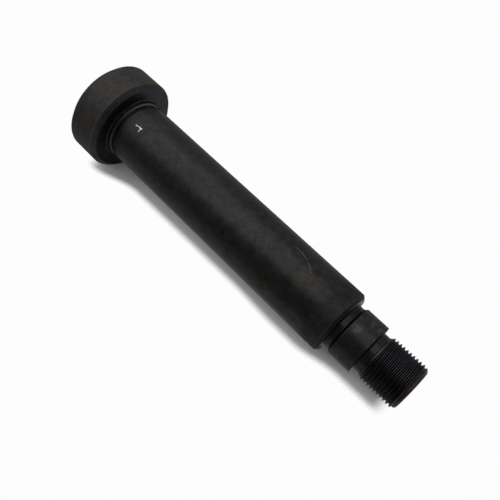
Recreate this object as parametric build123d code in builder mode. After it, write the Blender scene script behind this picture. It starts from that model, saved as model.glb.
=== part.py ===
"""Headed shoulder pin with a fine threaded end, turned from one bar.

Millimetres. The turning axis is +Z. The origin is the centre of the head's outer face, so the pin
stands on its head, and the thread points up.
"""

from build123d import *
import os

# Head
head_diameter = 44.0
head_height = 17.5
head_face_chamfer = 2.5      # 45 degrees, round the outer face
head_chamfer = 2.0           # 45 degrees, round the underside

# Neck: a low collar under the head, then a narrow undercut before the shank
collar_diameter = 28.4
collar_height = 2.1
collar_fillet = 1.0          # in the corner under the head
neck_diameter = 26.0
neck_width = 1.5

# Shank: from the underside to the shoulder face
shank_diameter = 28.0
shank_length = 124.5
shank_chamfer = 1.4

# Pilot: from the shoulder face to its own end face
pilot_diameter = 22.0
pilot_length = 13.5
pilot_relief_diameter = 20.0
pilot_relief_width = 2.5     # flat floor of the groove at the shoulder

# Threaded end: M20 x 1.5, from the pilot's end face to the tip
thread_diameter = 20.0
thread_length = 20.0
thread_relief_diameter = 17.2
thread_relief_width = 2.8    # flat floor of the groove before the thread
thread_chamfer = 1.4

# Centre holes, 60 degrees, in both ends
centre_drill_diameter = 3.15
centre_mouth_diameter = 6.7
centre_depth = 7.0

edge_break = 0.3             # on the outer edges that have no chamfer of their own
tolerance = 1e-4

# Heights along the axis
underside_z = head_height
collar_end_z = underside_z + collar_height
shank_start_z = collar_end_z + neck_width
shoulder_z = underside_z + shank_length
pilot_ramp_z = shoulder_z + pilot_relief_width
pilot_start_z = pilot_ramp_z + (pilot_diameter - pilot_relief_diameter) / 2
pilot_end_z = shoulder_z + pilot_length
thread_ramp_z = pilot_end_z + thread_relief_width
thread_start_z = thread_ramp_z + (thread_diameter - thread_relief_diameter) / 2
tip_z = pilot_end_z + thread_length

os.makedirs("parts", exist_ok=True)


def rim(radius, height):
    """Pick the circular edge of the pin at this radius and height."""
    circles = turned_pin.edges().filter_by(GeomType.CIRCLE)
    return circles.filter_by(
        lambda edge: abs(edge.radius - radius) < tolerance
        and abs(edge.arc_center.Z - height) < tolerance
    )


with BuildPart() as turned_pin:
    # Half section: both grooves past the shoulder leave by a 45 degree ramp.
    with BuildSketch(Plane.XZ):
        with BuildLine():
            Polyline(
                (0, 0),
                (head_diameter / 2, 0),
                (head_diameter / 2, underside_z),
                (collar_diameter / 2, underside_z),
                (collar_diameter / 2, collar_end_z),
                (neck_diameter / 2, collar_end_z),
                (neck_diameter / 2, shank_start_z),
                (shank_diameter / 2, shank_start_z),
                (shank_diameter / 2, shoulder_z),
                (pilot_relief_diameter / 2, shoulder_z),
                (pilot_relief_diameter / 2, pilot_ramp_z),
                (pilot_diameter / 2, pilot_start_z),
                (pilot_diameter / 2, pilot_end_z),
                (thread_relief_diameter / 2, pilot_end_z),
                (thread_relief_diameter / 2, thread_ramp_z),
                (thread_diameter / 2, thread_start_z),
                (thread_diameter / 2, tip_z),
                (0, tip_z),
                close=True,
            )
        make_face()
    revolve(axis=Axis.Z)

    chamfer(rim(head_diameter / 2, 0), head_face_chamfer)
    chamfer(rim(head_diameter / 2, underside_z), head_chamfer)
    fillet(rim(collar_diameter / 2, underside_z), collar_fillet)
    chamfer(rim(shank_diameter / 2, shank_start_z), edge_break)
    chamfer(rim(shank_diameter / 2, shoulder_z), shank_chamfer)
    chamfer(rim(pilot_diameter / 2, pilot_end_z), edge_break)
    chamfer(rim(thread_diameter / 2, tip_z), thread_chamfer)

    # The same centre hole in the head's outer face and in the tip
    with Locations(Plane.XY.rotated((180, 0, 0)), Plane.XY.offset(tip_z)):
        CounterSinkHole(
            radius=centre_drill_diameter / 2,
            counter_sink_radius=centre_mouth_diameter / 2,
            depth=centre_depth,
            counter_sink_angle=60,
        )

turned_pin.part.label = "shoulder_pin"
export_step(turned_pin.part, "parts/shoulder_pin.step")
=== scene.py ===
import math

import bmesh
import bpy
from mathutils import Matrix, Vector


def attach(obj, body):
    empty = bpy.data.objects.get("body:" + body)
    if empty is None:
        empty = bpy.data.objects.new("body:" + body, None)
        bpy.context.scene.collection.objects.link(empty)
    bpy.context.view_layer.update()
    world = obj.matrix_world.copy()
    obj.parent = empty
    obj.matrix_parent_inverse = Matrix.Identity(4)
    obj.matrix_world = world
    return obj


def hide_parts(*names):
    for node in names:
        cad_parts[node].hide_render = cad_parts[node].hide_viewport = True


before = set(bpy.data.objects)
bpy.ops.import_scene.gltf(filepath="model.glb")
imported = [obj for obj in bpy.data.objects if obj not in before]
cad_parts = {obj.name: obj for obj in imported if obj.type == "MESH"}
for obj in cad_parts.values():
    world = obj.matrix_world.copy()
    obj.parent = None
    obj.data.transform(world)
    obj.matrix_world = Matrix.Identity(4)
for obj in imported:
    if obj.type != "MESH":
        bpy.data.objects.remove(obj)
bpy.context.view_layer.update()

MM = 0.001

# ------------------------------------------------------------------ dimensions, mm, as in the CAD
head_radius = 22.0
head_height = 17.5
head_face_chamfer = 2.5
head_chamfer = 2.0
collar_radius = 14.2
collar_height = 2.1
collar_fillet = 1.0
neck_radius = 13.0
neck_width = 1.5
shank_radius = 14.0
shank_length = 124.5
shank_chamfer = 1.4
pilot_radius = 11.0
pilot_length = 13.5
pilot_relief_radius = 10.0
pilot_relief_width = 2.5
thread_radius = 10.0
thread_length = 20.0
thread_relief_radius = 8.6
thread_relief_width = 2.8
thread_chamfer = 1.4
drill_radius = 1.575
mouth_radius = 3.35
centre_depth = 7.0
drill_point = 0.9
edge_break = 0.3

# Finer than the CAD, inside its solid
ring_chamfer = 0.65               # on the collar's edge towards the shank, sharp in the CAD

underside = head_height
collar_end = underside + collar_height
shank_start = collar_end + neck_width
shoulder = underside + shank_length
pilot_ramp = shoulder + pilot_relief_width
pilot_start = pilot_ramp + pilot_radius - pilot_relief_radius
pilot_end = shoulder + pilot_length
thread_ramp = pilot_end + thread_relief_width
tip = pilot_end + thread_length
mouth_depth = (mouth_radius - drill_radius) / math.tan(math.radians(30))

# Fine thread: 60 degrees, right-handed
pitch = 1.5
thread_depth = 0.92
crest_width = pitch / 8
flank_width = thread_depth * math.tan(math.radians(30))
crest_rounding = 0.05
root_rounding = 0.1
first_turn = 155.01               # lowest point of the swept thread, trimmed off below the weld
thread_turns = 14
weld_low = thread_ramp - 0.4      # where the swept thread meets the turned sections
weld_high = tip - 0.35

# Roundings of the turned corners
drill_rounding = 0.05
throat_rounding = 0.1
fine_rounding = 0.12
crisp_rounding = 0.15
underside_rounding = 0.18
plain_rounding = 0.2
groove_rounding = 0.3
neck_rounding = 0.35
relief_rounding = 0.4
wide_rounding = 0.5               # above this a rounding gets more segments
wide_segments = 6
fine_segments = 3
crest_segments = 2

segments_round = 128
support = 0.08                    # loops beside each rounding, so that flat faces shade flat
merge_distance = 0.001


# ------------------------------------------------------------------ shapes
def lathe_wire(bm, corners):
    """A half section as a wire. Each corner is radius, height and the tangent length of its rounding."""
    points = [Vector((radius * MM, 0, height * MM)) for radius, height, _ in corners]
    rows = []
    for k, (point, (_, _, rounding)) in enumerate(zip(points, corners)):
        reach = (rounding + support) * MM
        before = points[k - 1] - point if rounding else None
        after = points[k + 1] - point if rounding else None
        if rounding:
            rows.append((point + before.normalized() * reach, 0))
        rows.append((point, rounding))
        if rounding:
            rows.append((point + after.normalized() * reach, 0))
    verts = [bm.verts.new(place) for place, _ in rows]
    for low, high in zip(verts, verts[1:]):
        bm.edges.new((low, high))
    for vert, (_, rounding) in zip(verts, rows):
        if rounding:
            bmesh.ops.bevel(bm, geom=[vert], offset=rounding * MM, offset_type="OFFSET",
                            segments=wide_segments if rounding > wide_rounding else fine_segments,
                            profile=0.5, affect="VERTICES", material=-1)


def turn_section(bm, corners):
    """Spin a half section once round the axis, into the same mesh."""
    part = bmesh.new()
    lathe_wire(part, corners)
    bmesh.ops.spin(part, geom=part.verts[:] + part.edges[:], cent=(0, 0, 0), axis=(0, 0, 1),
                   angle=math.tau, steps=segments_round, use_merge=True)
    merge_into(bm, part)


def merge_into(bm, part):
    carrier = bpy.data.meshes.new("carrier")
    part.to_mesh(carrier)
    part.free()
    bm.from_mesh(carrier)
    bpy.data.meshes.remove(carrier)


def thread_limit(height):
    """The largest radius of the threaded end at a height: relief floor, ramp, thread, end chamfer."""
    ramp = thread_relief_radius + max(0.0, height - thread_ramp)
    chamfer = thread_radius - max(0.0, height - (tip - thread_chamfer))
    return min(ramp, thread_radius, chamfer)


def sweep_thread(bm):
    """Sweep one ridge up the axis, trim it to the relief, the ramp and the end chamfer."""
    part = bmesh.new()
    half = pitch / 2
    root_half = half - crest_width / 2 - flank_width
    root_radius = thread_radius - thread_depth
    ridge = [
        (root_radius, first_turn, 0),
        (root_radius, first_turn + root_half, root_rounding),
        (thread_radius, first_turn + half - crest_width / 2, crest_rounding),
        (thread_radius, first_turn + half + crest_width / 2, crest_rounding),
        (root_radius, first_turn + pitch - root_half, root_rounding),
        (root_radius, first_turn + pitch, 0),
    ]
    verts = [part.verts.new((radius * MM, 0, height * MM)) for radius, height, _ in ridge]
    for low, high in zip(verts, verts[1:]):
        part.edges.new((low, high))
    for vert, (_, _, rounding) in zip(verts, ridge):
        if rounding:
            bmesh.ops.bevel(part, geom=[vert], offset=rounding * MM, offset_type="OFFSET",
                            segments=crest_segments, profile=0.5, affect="VERTICES", material=-1)
    bmesh.ops.spin(part, geom=part.verts[:] + part.edges[:], cent=(0, 0, 0), axis=(0, 0, 1),
                   dvec=(0, 0, pitch * MM / segments_round), angle=math.tau, steps=segments_round,
                   use_merge=False)
    one_turn = part.verts[:] + part.edges[:] + part.faces[:]
    for turn in range(1, thread_turns):
        copied = bmesh.ops.duplicate(part, geom=one_turn)["geom"]
        bmesh.ops.translate(part, verts=[v for v in copied if isinstance(v, bmesh.types.BMVert)],
                            vec=(0, 0, turn * pitch * MM))
    bmesh.ops.remove_doubles(part, verts=part.verts[:], dist=merge_distance * MM)
    for vert in part.verts:
        radius = math.hypot(vert.co.x, vert.co.y)
        limit = thread_limit(vert.co.z / MM) * MM
        if radius > limit:
            vert.co.xy = vert.co.xy * (limit / radius)
    for height, side in ((weld_low, -1), (weld_high, 1)):
        bmesh.ops.bisect_plane(part, geom=part.verts[:] + part.edges[:] + part.faces[:], dist=1e-7,
                               plane_co=(0, 0, height * MM), plane_no=(0, 0, side), clear_outer=True)
    for height in (weld_low, weld_high):
        true_ring(part, height)
    merge_into(bm, part)


def true_ring(bm, height):
    """Leave one vertex a step on a cut edge, at the turned section's radius, so that the two weld."""
    step = math.tau / segments_round
    ring = [v for v in bm.verts if abs(v.co.z - height * MM) < 1e-6 and v.is_boundary]
    between = []
    for vert in ring:
        turn = math.atan2(vert.co.y, vert.co.x) / step
        if abs(turn - round(turn)) > 0.01:
            between.append(vert)
            continue
        angle = round(turn) * step
        radius = thread_limit(height) * MM
        vert.co = (radius * math.cos(angle), radius * math.sin(angle), height * MM)
    bmesh.ops.dissolve_verts(bm, verts=between)


def finish_piece(bm, name, material):
    """Weld the sections, face them outwards and hand over one smooth object."""
    bmesh.ops.remove_doubles(bm, verts=bm.verts[:], dist=merge_distance * MM)
    bmesh.ops.recalc_face_normals(bm, faces=bm.faces[:])
    mesh = bpy.data.meshes.new(name)
    bm.to_mesh(mesh)
    bm.free()
    mesh.polygons.foreach_set("use_smooth", [True] * len(mesh.polygons))
    mesh.materials.append(material)
    piece = bpy.data.objects.new(name, mesh)
    bpy.context.scene.collection.objects.link(piece)
    return piece


# ------------------------------------------------------------------ shader expressions
class Flow:
    """A shader socket that takes part in Python sums and products."""

    def __init__(self, tree, socket):
        self.tree = tree
        self.socket = socket

    def math(self, operation, *others, swap=False):
        values = [self, *others]
        if swap:
            values.reverse()
        return node(self.tree, "ShaderNodeMath", {"operation": operation}, *values)

    def __add__(self, other):
        return self.math("ADD", other)

    def __radd__(self, other):
        return self.math("ADD", other, swap=True)

    def __sub__(self, other):
        return self.math("SUBTRACT", other)

    def __rsub__(self, other):
        return self.math("SUBTRACT", other, swap=True)

    def __mul__(self, other):
        return self.math("MULTIPLY", other)

    def __rmul__(self, other):
        return self.math("MULTIPLY", other, swap=True)

    def __truediv__(self, other):
        return self.math("DIVIDE", other)

    def __pow__(self, other):
        return self.math("POWER", other)


def node(tree, kind, settings=None, *values, out=0, **named):
    """Add a node: its settings first, then its sockets by order or by name. Returns one output."""
    made = tree.nodes.new(kind)
    for key, value in (settings or {}).items():
        setattr(made, key, value)
    pairs = list(zip(made.inputs, values))
    pairs += [(made.inputs[key.replace("_", " ")], value) for key, value in named.items()]
    for socket, value in pairs:
        if isinstance(value, Flow):
            tree.links.new(value.socket, socket)
        elif value is not None:
            socket.default_value = value
    return Flow(tree, made.outputs[out])


def smooth(value, low, high):
    """0 below low, 1 above high, eased between."""
    return node(value.tree, "ShaderNodeMapRange", {"interpolation_type": "SMOOTHSTEP"},
                value, low, high, 0.0, 1.0)


def band(value, centre, half, soft):
    """1 within half of centre, fading to 0 over soft."""
    return 1 - smooth((value - centre).math("ABSOLUTE"), half, half + soft)


def blend_colour(factor, first, second):
    tree = factor.tree
    made = tree.nodes.new("ShaderNodeMix")
    made.data_type = "RGBA"
    tree.links.new(factor.socket, made.inputs["Factor"])
    for socket, value in ((made.inputs[6], first), (made.inputs[7], second)):
        if isinstance(value, Flow):
            tree.links.new(value.socket, socket)
        else:
            socket.default_value = (*value, 1.0)
    return Flow(tree, made.outputs[2])


def new_tree(owner):
    owner.use_nodes = True
    owner.node_tree.nodes.clear()
    return owner.node_tree


# ------------------------------------------------------------------ black oxide steel
warm_oxide = (0.0219, 0.0211, 0.0197)
cool_oxide = (0.0192, 0.0186, 0.0199)
bare_steel = (0.72, 0.72, 0.70)

# Marks on the shank, mm: height along the axis, and distance round it from the side that faces -Y
nick_z = 27.9
nick_arc = -2.0
nick_length = 3.6
leg_z = 29.2
leg_arc = -0.85
chip_z = 29.3
chip_arc = -1.75
scratch_z = 116.6
scratch_arc = -10.4
scratch_length = 11.2
bend_start = 110.7
bend_length = 11.3
bend_depth = 3.7


def black_oxide():
    """Blackened steel: soft brown and blue patches, turning lines, a finish that differs by zone, and
    painted highlights and painted shade on some zones.
    """
    material = bpy.data.materials.new("black_oxide_steel")
    tree = new_tree(material)
    place = node(tree, "ShaderNodeTexCoord", out=3)
    parts = tree.nodes.new("ShaderNodeSeparateXYZ")
    tree.links.new(place.socket, parts.inputs[0])
    x, y, z = (Flow(tree, parts.outputs[k]) / MM for k in range(3))
    radius = (x * x + y * y).math("SQRT")
    arc = x.math("ARCTAN2", y * -1) * shank_radius

    def noise(scale, detail=3.0, rough=0.55):
        return node(tree, "ShaderNodeTexNoise", None, Vector=place, Scale=scale, Detail=detail,
                    Roughness=rough)

    cloud = noise(95.0, 3.0)
    patch = noise(330.0, 3.0)
    grain = noise(1600.0, 2.0)
    lines = node(tree, "ShaderNodeTexNoise", {"noise_dimensions": "1D"}, W=z + radius, Scale=2.6,
                 Detail=4.0, Roughness=0.75)

    # Zones along the axis, and the side that is up when the pin lies on the floor
    on_head = 1 - smooth(z, underside - head_chamfer, underside - 0.2)
    on_underside = band(z, underside, 0.15, 0.1)
    in_corner = band(z, underside + 0.6, 0.4, 0.15) * (1 - smooth(radius, 14.4, 15.0))
    on_ring = band(z, collar_end - 0.25, 0.35, 0.1) * smooth(radius, 13.4, 13.6)
    in_undercut = band(z, (collar_end + shank_start) / 2, neck_width / 2 - 0.1, 0.1)
    near_head = 1 - smooth(z, 30.0, 115.0)
    on_shank_end = smooth(z, 130.0, 136.0) * (1 - smooth(z, shoulder - 0.3, shoulder - 0.1))
    on_shank_chamfer = band(z, shoulder - shank_chamfer / 2, shank_chamfer / 2 - 0.1, 0.1)
    on_shoulder = band(z, shoulder, 0.08, 0.05) * smooth(radius, 10.3, 10.5)
    in_groove = band(z, (shoulder + pilot_ramp) / 2, pilot_relief_width / 2 - 0.1, 0.15)
    on_pilot = smooth(z, pilot_start, pilot_start + 0.5) * (1 - smooth(z, pilot_end, pilot_end + 0.1))
    pilot_edge = band(z, pilot_end - 0.1, 0.25, 0.1)
    in_relief = band(z, (pilot_end + thread_ramp) / 2 + 0.2, 1.3, 0.3)
    on_thread = smooth(z, thread_ramp, thread_ramp + 0.6)
    on_crest = on_thread * smooth(radius, thread_radius - 0.3, thread_radius - 0.05)
    in_root = on_thread * (1 - smooth(radius, thread_radius - 0.86, thread_radius - 0.7))
    in_root = in_root * (1 - smooth(z, tip - 1.7, tip - 1.3))
    at_tip = smooth(z, tip - 2.2, tip - 0.9) * smooth(radius, 7.0, 8.8)
    # upper, lit and lower are the sides as the overhead light falls on the pin lying on its floor; below
    # they place painted highlights and painted shade
    upper = smooth(x * -1, 4.0, 9.0)
    lit = smooth(x * -1, -3.0, 2.0)
    lower = smooth(x, 2.0, 20.0)

    # Oxide colour: warmer and cooler clouds, then a tint for each zone
    colour = blend_colour(smooth(cloud, 0.36, 0.64), warm_oxide, cool_oxide)
    tint = blend_colour(on_head, (1.0, 1.0, 1.0), (1.62, 1.60, 1.50))
    tint = blend_colour(on_underside, tint, (1.18, 1.30, 1.44))
    tint = blend_colour(on_shank_chamfer, tint, (0.80, 0.74, 0.87))
    tint = blend_colour(in_groove, tint, (0.61, 0.62, 0.71))
    tint = blend_colour(in_relief, tint, (0.78, 0.77, 0.86))
    tint = blend_colour(on_thread, tint, (1.08, 1.05, 1.14))
    tint = blend_colour(at_tip * smooth(patch, 0.38, 0.6), tint, (1.55, 1.22, 1.12))
    rust = smooth(noise(520.0), 0.58, 0.68) * (1 - smooth(z, 1.5, 9.0))
    tint = blend_colour(rust, tint, (2.3, 1.6, 1.42))
    colour = node(tree, "ShaderNodeVectorMath", {"operation": "MULTIPLY"}, colour, tint)

    # Lighter and darker mottling, specks, worn edges that also carry painted edge highlights, painted
    # highlights on the lit side, and painted shade in the corners and on the underside's lower side
    tone_and_painted_light = 1.15 * (patch - 0.5) + 0.5 * (cloud - 0.5) + 1.0 * (grain - 0.5)
    tone_and_painted_light = 0.96 + 0.1 * near_head + tone_and_painted_light * (1 - 0.3 * on_pilot)
    # Painted sheen: lighter patches on the pilot, on its lit side only
    tone_and_painted_light = tone_and_painted_light + 0.55 * on_pilot * lit * smooth(patch, 0.5, 0.62)
    spots = node(tree, "ShaderNodeTexVoronoi", None, Vector=place, Scale=210.0)
    chance = node(tree, "ShaderNodeTexVoronoi", None, out=1, Vector=place, Scale=210.0)
    speck = (1 - smooth(spots, 0.05, 0.12)) * smooth(chance, 0.76, 0.78)
    # Lighter lines at the head's chamfer edge and at the start of the shank's chamfer: partly wear,
    # partly painted edge highlights
    wear_and_edge_highlight = band(z, underside - head_chamfer, 0.12, 0.12) + band(z, shoulder - shank_chamfer, 0.1, 0.12)
    # Specks, the edge lines, and a painted glint on the upper side of the shoulder face
    tone_and_painted_light = tone_and_painted_light + 1.2 * speck + 0.7 * wear_and_edge_highlight + 7.0 * on_shoulder * upper
    # Painted highlights: on the collar's ring, strongest on the lit side, and on the upper side of the
    # shank's chamfer
    tone_and_painted_light = tone_and_painted_light + on_ring * (0.2 + 1.1 * lit) + 0.4 * on_shank_chamfer * smooth(x * -1, 6.0, 11.0)
    # Crests a little lighter; painted highlights in the thread's roots on the lit side
    tone_and_painted_light = tone_and_painted_light + 0.1 * on_crest + 1.1 * in_root * lit * (1 - 0.6 * smooth(x * -1, 5.5, 8.5))
    # Painted shade in the corner under the head and in the undercut; darker bands at the pilot's end
    # edge and the shank's end
    black = 0.6 * in_corner + 0.2 * in_undercut + 0.6 * pilot_edge + 0.04 * on_shank_end
    # Painted shade on the lower side of the head's underside
    black = black + 0.6 * on_underside * lower
    tone_and_painted_light = (tone_and_painted_light * (1 - black.math("MINIMUM", 0.8))).math("MAXIMUM", 0.1)
    colour = node(tree, "ShaderNodeVectorMath", {"operation": "SCALE"}, colour, Scale=tone_and_painted_light)

    # One bright nick with a short leg, and one thin curved scratch, both on the shank
    ragged = 0.9 * (noise(1300.0, 1.0) - 0.5)
    slant = 0.1 * (z - nick_z)
    nick = band(z, nick_z, nick_length / 2, 0.12) * band(arc + ragged + slant, nick_arc, 0.1, 0.12)
    leg = band(z + ragged, leg_z, 0.15, 0.12) * band(arc, leg_arc, 0.6, 0.15)
    corner_z = z - chip_z
    corner_arc = arc - chip_arc
    chip = 1 - smooth((corner_z * corner_z + corner_arc * corner_arc).math("SQRT") + ragged, 0.2, 0.45)
    bare = nick * (0.15 + 0.65 * smooth(grain, 0.38, 0.6)) + 0.25 * leg + 0.45 * chip
    run = ((z - bend_start) / bend_length).math("MAXIMUM", 0.0) ** 2.6
    scratch = band(arc - scratch_arc - bend_depth * run, 0.0, 0.05, 0.12)
    scratch = scratch * band(z, scratch_z, scratch_length / 2, 0.8)
    bare = (bare + 0.13 * scratch * smooth(grain, 0.3, 0.6)).math("MINIMUM", 1.0)
    colour = blend_colour(bare, colour, bare_steel)

    roughness = 0.34 + 0.20 * on_head + 0.09 * near_head + 0.2 * on_shank_end - 0.13 * in_groove
    roughness = roughness - 0.11 * in_relief + 0.09 * (patch - 0.5) + 0.06 * (lines - 0.5)

    height = 0.6 * lines + 0.3 * grain + 0.4 * patch
    bump = node(tree, "ShaderNodeBump", None, Strength=0.3, Distance=0.00003, Height=height)

    shader = tree.nodes.new("ShaderNodeBsdfPrincipled")
    shader.inputs["Metallic"].default_value = 1.0
    shader.inputs["Specular Tint"].default_value = (0.6, 0.6, 0.6, 1.0)
    tree.links.new(colour.socket, shader.inputs["Base Color"])
    tree.links.new(roughness.socket, shader.inputs["Roughness"])
    tree.links.new(bump.socket, shader.inputs["Normal"])
    output = tree.nodes.new("ShaderNodeOutputMaterial")
    tree.links.new(shader.outputs[0], output.inputs[0])
    return material


steel = black_oxide()

pin = bmesh.new()
turn_section(pin, [
    (0, centre_depth, 0),
    (drill_radius, centre_depth - drill_point, drill_rounding),
    (drill_radius, mouth_depth, throat_rounding),
    (mouth_radius, 0, fine_rounding),
    (head_radius - head_face_chamfer, 0, plain_rounding),
    (head_radius, head_face_chamfer, plain_rounding),
    (head_radius, underside - head_chamfer, underside_rounding),
    (head_radius - head_chamfer, underside, underside_rounding),
    (collar_radius, underside, collar_fillet),
    (collar_radius, collar_end - ring_chamfer, crisp_rounding),
    (collar_radius - ring_chamfer, collar_end, fine_rounding),
    (neck_radius, collar_end, plain_rounding),
    (neck_radius, shank_start, neck_rounding),
    (shank_radius, shank_start, edge_break),
    (shank_radius, shoulder - shank_chamfer, plain_rounding),
    (shank_radius - shank_chamfer, shoulder, crisp_rounding),
    (pilot_relief_radius, shoulder, groove_rounding),
    (pilot_relief_radius, pilot_ramp, groove_rounding),
    (pilot_radius, pilot_start, plain_rounding),
    (pilot_radius, pilot_end, edge_break),
    (thread_relief_radius, pilot_end, relief_rounding),
    (thread_relief_radius, weld_low, 0),
])
sweep_thread(pin)
turn_section(pin, [
    (thread_limit(weld_high), weld_high, 0),
    (thread_radius - thread_chamfer, tip, fine_rounding),
    (mouth_radius, tip, fine_rounding),
    (drill_radius, tip - mouth_depth, throat_rounding),
    (drill_radius, tip - centre_depth + drill_point, drill_rounding),
    (0, tip - centre_depth, 0),
])
turned_pin = finish_piece(pin, "turned_pin", steel)
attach(turned_pin, "root")
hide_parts("shoulder_pin")

# ------------------------------------------------------------------ floor, light and camera
# The pin lies on its head's rim and its shank's end: floor_up is away from that floor, floor_along
# follows the pin on it and floor_across leads out on the side where the shadow shows.
floor_up = Vector((-0.38397, -0.92113, -0.06389)).normalized()
floor_along = (Vector((0, 0, 1)) - floor_up * floor_up.z).normalized()
floor_across = floor_along.cross(floor_up)
floor_level = -22.95 * MM
floor_middle = Vector((0, 0, 90 * MM))
floor_middle += floor_up * (floor_level - floor_middle.dot(floor_up))
floor_size = 0.5
white = (1.0, 1.0, 1.0, 1.0)
# Grey of the floor patch, darker than the room's white, which deepens the shadow cast on it
shadow_deepening_grey = (0.67, 0.67, 0.655, 1.0)
room_level = 0.98                 # behind the pin and below it


def axes_turn(across, along, up):
    """The rotation whose X, Y and Z are these three directions."""
    return Matrix((across, along, up)).transposed().to_quaternion()


def floor_with_painted_shadow_edge():
    """Grey paper round the pin that takes the pin's cast shadow and fades into the room's white along
    the shadow's edge, so its grey and its fade paint part of the shadow's depth and outline; one-sided,
    so that every side of the pin stays lit.
    """
    material = bpy.data.materials.new("floor_with_painted_shadow_edge")
    tree = new_tree(material)
    place = node(tree, "ShaderNodeTexCoord", out=3)
    parts = tree.nodes.new("ShaderNodeSeparateXYZ")
    tree.links.new(place.socket, parts.inputs[0])
    across = Flow(tree, parts.outputs[0]) / MM
    along = Flow(tree, parts.outputs[1]) / MM
    path = tree.nodes.new("ShaderNodeLightPath")
    side = tree.nodes.new("ShaderNodeNewGeometry")
    front = 1 - Flow(tree, side.outputs["Backfacing"])
    # The fade follows the width of the shadow along the pin: a painted shadow edge
    edge = 11.2 + 6 * (1 - smooth(along, -85.0, -58.0)) + 1.1 * smooth(along, 5.0, 30.0)
    edge = edge - 3.1 * smooth(along, 41.0, 62.0)
    paper = 1 - smooth(across.math("ABSOLUTE") - edge, 0.0, 4.0)
    paper = paper * smooth(along, -90.0, -82.0) * (1 - smooth(along, 77.0, 84.0))
    mirrored = Flow(tree, path.outputs["Is Glossy Ray"]) * smooth(across, 6.0, 8.0)
    seen = (Flow(tree, path.outputs["Is Camera Ray"]) + mirrored) * front * paper
    sheet = node(tree, "ShaderNodeBsdfDiffuse", None, shadow_deepening_grey)
    clear = node(tree, "ShaderNodeBsdfTransparent")
    both = node(tree, "ShaderNodeMixShader", None, seen, clear, sheet)
    output = tree.nodes.new("ShaderNodeOutputMaterial")
    tree.links.new(both.socket, output.inputs[0])
    return material


def lay_floor():
    bm = bmesh.new()
    bmesh.ops.create_grid(bm, x_segments=1, y_segments=1, size=floor_size / 2)
    mesh = bpy.data.meshes.new("floor")
    bm.to_mesh(mesh)
    bm.free()
    mesh.materials.append(floor_with_painted_shadow_edge())
    floor = bpy.data.objects.new("floor", mesh)
    bpy.context.scene.collection.objects.link(floor)
    floor.location = floor_middle
    floor.rotation_mode = "QUATERNION"
    floor.rotation_quaternion = axes_turn(floor_across, floor_along, floor_up)


def softbox(name, middle, along, width, length, level):
    """A flat lamp that faces the pin. Its long side follows along; level is its brightness."""
    light = bpy.data.lights.new(name, "AREA")
    light.shape = "RECTANGLE"
    light.size = width
    light.size_y = length
    light.energy = level * math.pi * width * length
    lamp = bpy.data.objects.new(name, light)
    bpy.context.scene.collection.objects.link(lamp)
    along = along.normalized()
    across = along.cross(middle).normalized()
    lamp.location = floor_middle + middle
    lamp.rotation_mode = "QUATERNION"
    lamp.rotation_quaternion = axes_turn(across, along, across.cross(along))


def over_floor(across, along, up):
    return floor_across * across + floor_along * along + floor_up * up


# Overhead, leaning in over the head end
softbox("overhead_softbox", over_floor(-0.065, -0.22, 0.83), over_floor(-0.117, 0.528, 0.524),
        1.0, 1.4, 1.5)


def room_light():
    """Plain soft surroundings: paler beyond the pin and below it, dimmer on the shadow's side."""
    room = bpy.data.worlds.new("room")
    tree = new_tree(room)
    look = node(tree, "ShaderNodeTexCoord")

    def toward(direction):
        return node(tree, "ShaderNodeVectorMath", {"operation": "DOT_PRODUCT"}, look,
                    tuple(direction), out=1)

    up = toward(floor_up)
    across = toward(floor_across)
    along = toward(floor_along)
    angle = across.math("ARCTAN2", up) * math.degrees(1)
    below = 1 - smooth(up, -0.45, 0.05)
    level = 1.0 - 0.5 * smooth(angle, -45.0, -22.0) - 0.145 * smooth(angle + 50 * along, 0.0, 50.0)
    level = level + below * (room_level - level)
    behind = toward(floor_across * -0.39 - floor_up * 0.92) / (1 - along * along).math("SQRT")
    level = level * (1 - 0.75 * smooth(behind, 0.75, 0.96) * (1 - smooth(along, 0.05, 0.25)))
    path = tree.nodes.new("ShaderNodeLightPath")
    strength = level + Flow(tree, path.outputs["Is Camera Ray"]) * (room_level - level)
    background = node(tree, "ShaderNodeBackground", None, white, strength)
    output = tree.nodes.new("ShaderNodeOutputWorld")
    tree.links.new(background.socket, output.inputs[0])
    bpy.context.scene.world = room


lay_floor()
room_light()

camera_data = bpy.data.cameras.new("camera")
camera_data.lens = 42.415
camera_data.sensor_width = 36.0
camera_data.shift_x = 0.02551
camera_data.shift_y = -0.03894
camera_data.clip_start = 0.01
camera_data.clip_end = 20.0
camera = bpy.data.objects.new("camera", camera_data)
camera.location = (0, -0.22724, 0.16352)
camera.rotation_euler = [math.radians(angle) for angle in (-63.6164, -43.4244, 160.8447)]
bpy.context.scene.collection.objects.link(camera)
bpy.context.scene.camera = camera

bpy.context.scene.view_settings.view_transform = "Standard"
